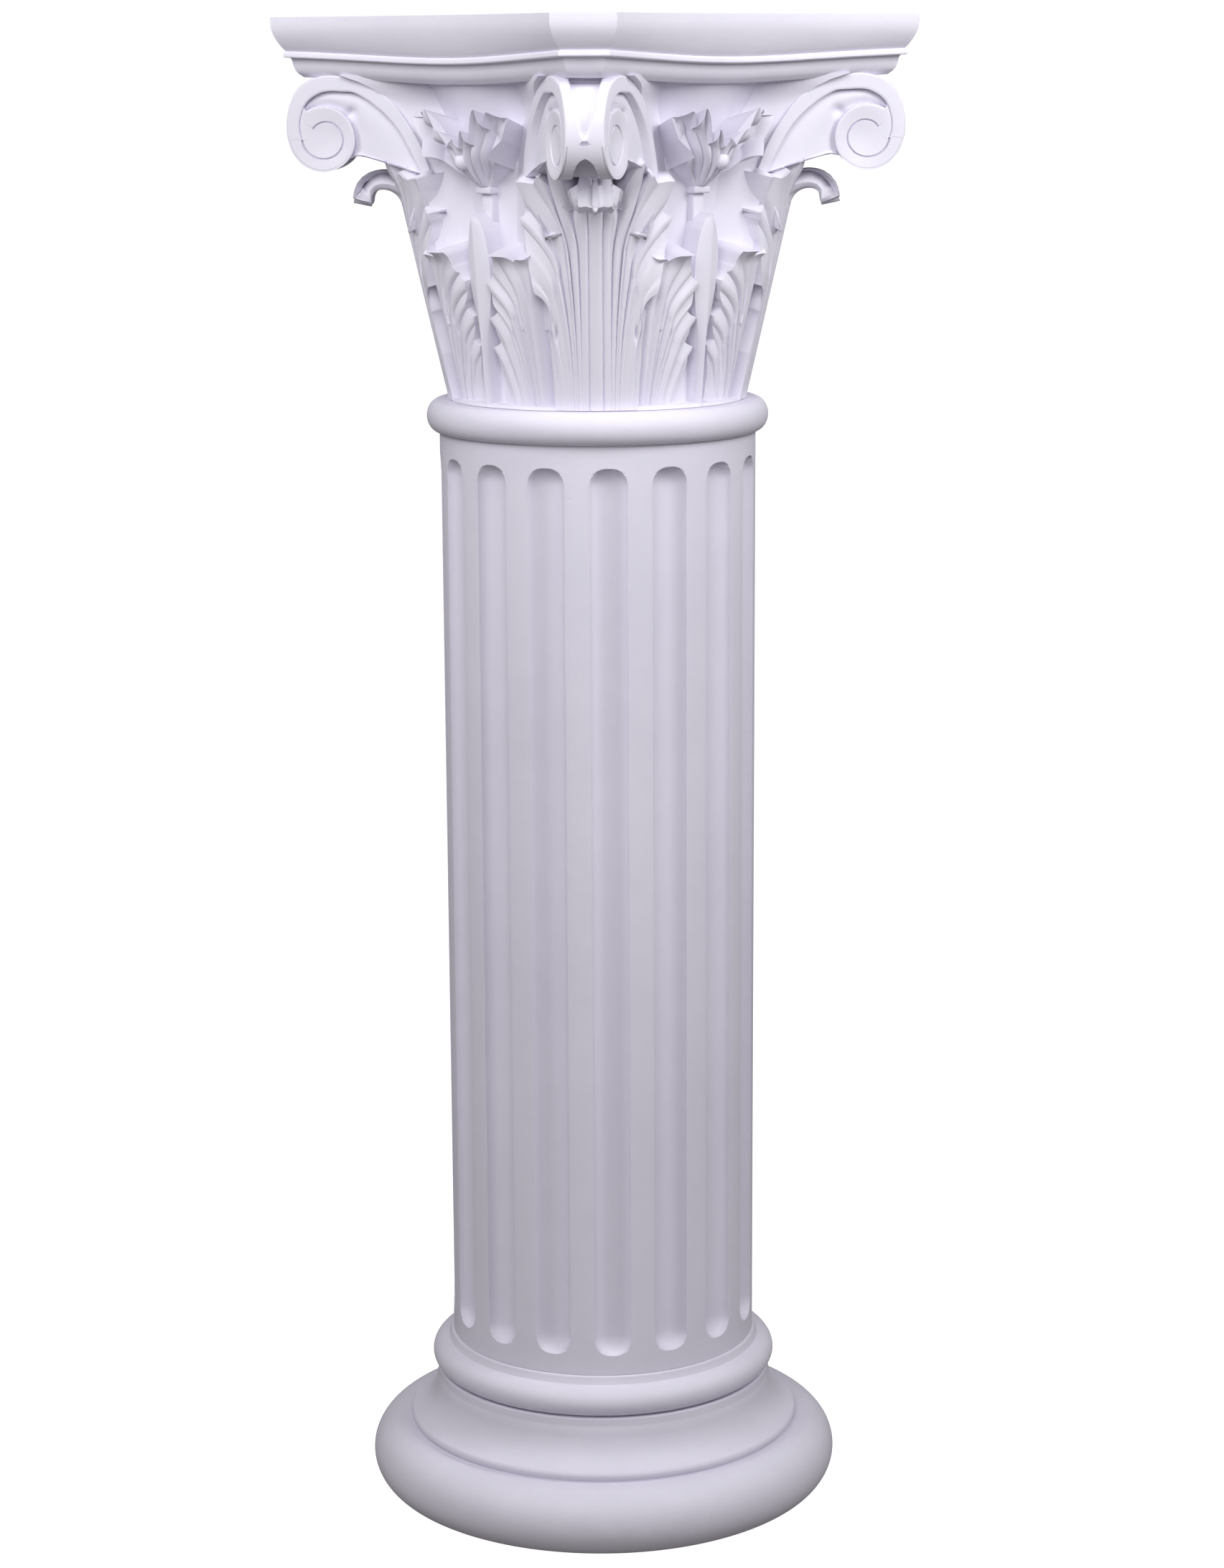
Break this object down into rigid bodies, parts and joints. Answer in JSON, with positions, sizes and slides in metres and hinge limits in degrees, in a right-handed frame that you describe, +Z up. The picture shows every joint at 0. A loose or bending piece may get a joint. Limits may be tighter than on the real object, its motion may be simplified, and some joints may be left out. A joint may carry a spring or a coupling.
{
  "type": "corinthian column",
  "caption": "Cast display column: round moulded base, fluted shaft with a neck ring, and a leafed capital with corner scrolls under a flat hollow-sided top.",
  "frame": {"origin": "middle of the base's flat underside, on the column's axis", "axes": "+Z up along the column's axis; the top's hollow sides face +X, -X, +Y and -Y, and its cut corners, scrolls and tall leaves lie on the diagonals"},
  "size_m": [0.3232, 0.3232, 1],
  "materials": {
    "base_plaster": "matt cast plaster, cool white",
    "shaft_plaster": "matt cast plaster, cool white",
    "capital_plaster": "matt cast plaster, cool white"
  },
  "bodies": {
    "root": {"base": "base_plaster", "shaft": "shaft_plaster", "capital": "capital_plaster"}
  },
  "joints": []
}
